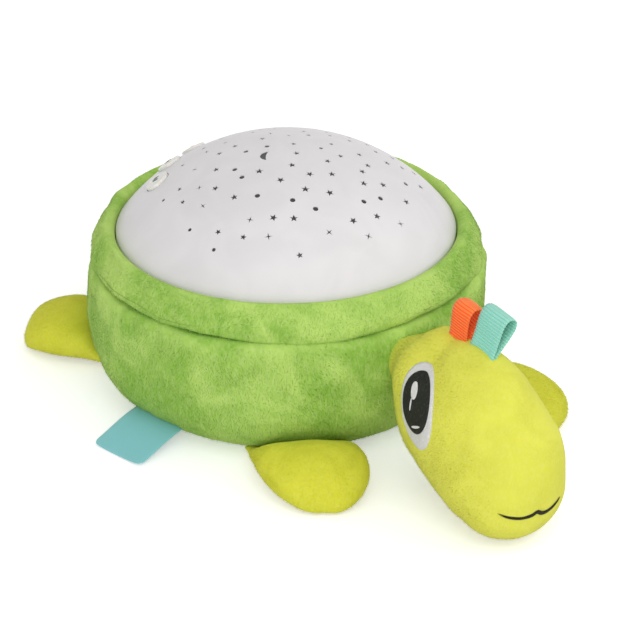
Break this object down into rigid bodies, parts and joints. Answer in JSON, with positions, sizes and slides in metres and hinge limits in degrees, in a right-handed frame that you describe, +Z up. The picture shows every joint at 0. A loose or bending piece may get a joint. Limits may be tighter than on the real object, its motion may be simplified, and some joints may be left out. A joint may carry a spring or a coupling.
{
  "type": "star night light projector",
  "caption": "Plush turtle night light: a white dome with star-shaped openings in a green shell, soft flippers and a hinged battery door underneath.",
  "frame": {"origin": "centre of the shell's underside, on the surface that it rests on", "axes": "+Z up; the head points to -Y; the turtle's right side, with the satin tab, is -X"},
  "size_m": [0.2241, 0.2999, 0.119],
  "materials": {
    "dome_plastic": "white moulded ABS, satin to glossy",
    "smoked_liner": "dark smoked polycarbonate",
    "button_plastic": "translucent white moulded buttons",
    "housing_plastic": "white moulded ABS, fine texture",
    "black_plastic": "black moulded plastic, matt",
    "circuit_board": "green solder mask on glass-epoxy board",
    "switch_body": "black switch body",
    "steel": "zinc-plated steel screws",
    "contact_metal": "nickel-plated spring contacts",
    "cell_jacket": "plain grey cell jacket, unprinted",
    "lamp_blue": "blue water-clear lamp",
    "lamp_green": "green water-clear lamp",
    "lamp_amber": "amber water-clear lamp",
    "green_plush": "grass-green short-pile velboa",
    "yellow_plush": "yellow-green short-pile velboa",
    "stuffing": "polyester fibre filling",
    "eye_white_thread": "white satin-stitch embroidery",
    "eye_dark_thread": "near-black satin-stitch embroidery",
    "orange_ribbon": "orange grosgrain ribbon",
    "turquoise_ribbon": "turquoise grosgrain ribbon",
    "turquoise_satin": "turquoise woven satin"
  },
  "bodies": {
    "shell": {"star_dome": "dome_plastic", "dome_liner": "smoked_liner", "switch_boards": "circuit_board", "tact_switches": "switch_body", "housing_tub": "housing_plastic", "battery_tray": "housing_plastic", "battery_cells": "cell_jacket", "battery_contacts": "contact_metal", "case_screws": "steel", "main_board": "circuit_board", "board_screws": "steel", "control_chip": "black_plastic", "timer_capacitor": "black_plastic", "blue_lamp": "lamp_blue", "green_lamp": "lamp_green", "amber_lamp": "lamp_amber", "lamp_collar": "black_plastic", "light_baffle": "black_plastic", "shell_side_panel": "green_plush", "shell_base_panel": "green_plush", "shell_top_band": "green_plush", "shell_stuffing": "stuffing", "neck": "yellow_plush"},
    "tail_button": {"tail_button": "button_plastic"},
    "middle_button": {"middle_button": "button_plastic"},
    "side_button": {"side_button": "button_plastic"},
    "battery_door": {"battery_door": "housing_plastic"},
    "battery_screw": {"battery_screw": "steel"},
    "head": {"head_skin": "yellow_plush", "head_stuffing": "stuffing", "right_eye_white": "eye_white_thread", "left_eye_white": "eye_white_thread", "right_eye_pupil": "eye_dark_thread", "left_eye_pupil": "eye_dark_thread"},
    "orange_ribbon": {"orange_ribbon": "orange_ribbon"},
    "turquoise_ribbon": {"turquoise_ribbon": "turquoise_ribbon"},
    "front_right_flipper": {"front_right_flipper": "yellow_plush"},
    "front_left_flipper": {"front_left_flipper": "yellow_plush"},
    "rear_right_flipper": {"rear_right_flipper": "yellow_plush"},
    "rear_left_flipper": {"rear_left_flipper": "yellow_plush"},
    "side_label": {"side_label": "turquoise_satin"}
  },
  "joints": [
    {"name": "tail_button_press", "type": "slide", "parent": "shell", "child": "tail_button", "axis": [0.1449, -0.5812, -0.8007], "range_m": [0, 0.0012], "stiffness_N_per_m": 400, "springref_m": -0.0006},
    {"name": "middle_button_press", "type": "slide", "parent": "shell", "child": "middle_button", "axis": [0.3263, -0.5024, -0.8007], "range_m": [0, 0.0012], "stiffness_N_per_m": 400, "springref_m": -0.0006},
    {"name": "side_button_press", "type": "slide", "parent": "shell", "child": "side_button", "axis": [0.472, -0.3688, -0.8007], "range_m": [0, 0.0012], "stiffness_N_per_m": 400, "springref_m": -0.0006},
    {"name": "battery_door_hinge", "type": "hinge", "parent": "shell", "child": "battery_door", "pos_m": [0, 0.035, 0.0039], "axis": [1, 0, 0], "range_deg": [0, 85]},
    {"name": "battery_screw_turn", "type": "hinge", "parent": "battery_door", "child": "battery_screw", "pos_m": [0, -0.0324, 0.0045], "axis": [0, 0, 1], "range_deg": [0, 1080]},
    {"name": "head_nod", "type": "hinge", "parent": "shell", "child": "head", "pos_m": [0, -0.101, 0.049], "axis": [-1, 0, 0], "range_deg": [0, 15]},
    {"name": "orange_ribbon_flop", "type": "hinge", "parent": "head", "child": "orange_ribbon", "pos_m": [0, -0.137, 0.08029], "axis": [0, -0.9901, 0.1404], "range_deg": [-25, 25], "stiffness_Nm_per_rad": 0.01},
    {"name": "turquoise_ribbon_flop", "type": "hinge", "parent": "head", "child": "turquoise_ribbon", "pos_m": [0, -0.15275, 0.08084], "axis": [0, -0.9969, -0.0782], "range_deg": [-25, 25], "stiffness_Nm_per_rad": 0.01},
    {"name": "front_right_flipper_lift", "type": "hinge", "parent": "shell", "child": "front_right_flipper", "pos_m": [-0.04266, -0.07697, 0.002], "axis": [-0.8746, 0.4848, 0], "range_deg": [0, 12]},
    {"name": "front_left_flipper_lift", "type": "hinge", "parent": "shell", "child": "front_left_flipper", "pos_m": [0.04266, -0.07697, 0.002], "axis": [-0.8746, -0.4848, 0], "range_deg": [0, 12]},
    {"name": "rear_right_flipper_lift", "type": "hinge", "parent": "shell", "child": "rear_right_flipper", "pos_m": [-0.0633, 0.06113, 0.002], "axis": [0.6947, 0.7193, 0], "range_deg": [0, 12]},
    {"name": "rear_left_flipper_lift", "type": "hinge", "parent": "shell", "child": "rear_left_flipper", "pos_m": [0.0633, 0.06113, 0.002], "axis": [0.6947, -0.7193, 0], "range_deg": [0, 12]},
    {"name": "side_label_lift", "type": "hinge", "parent": "shell", "child": "side_label", "pos_m": [-0.08517, -0.01872, 0.0043], "axis": [-0.2588, 0.9659, 0], "range_deg": [0, 25]}
  ]
}
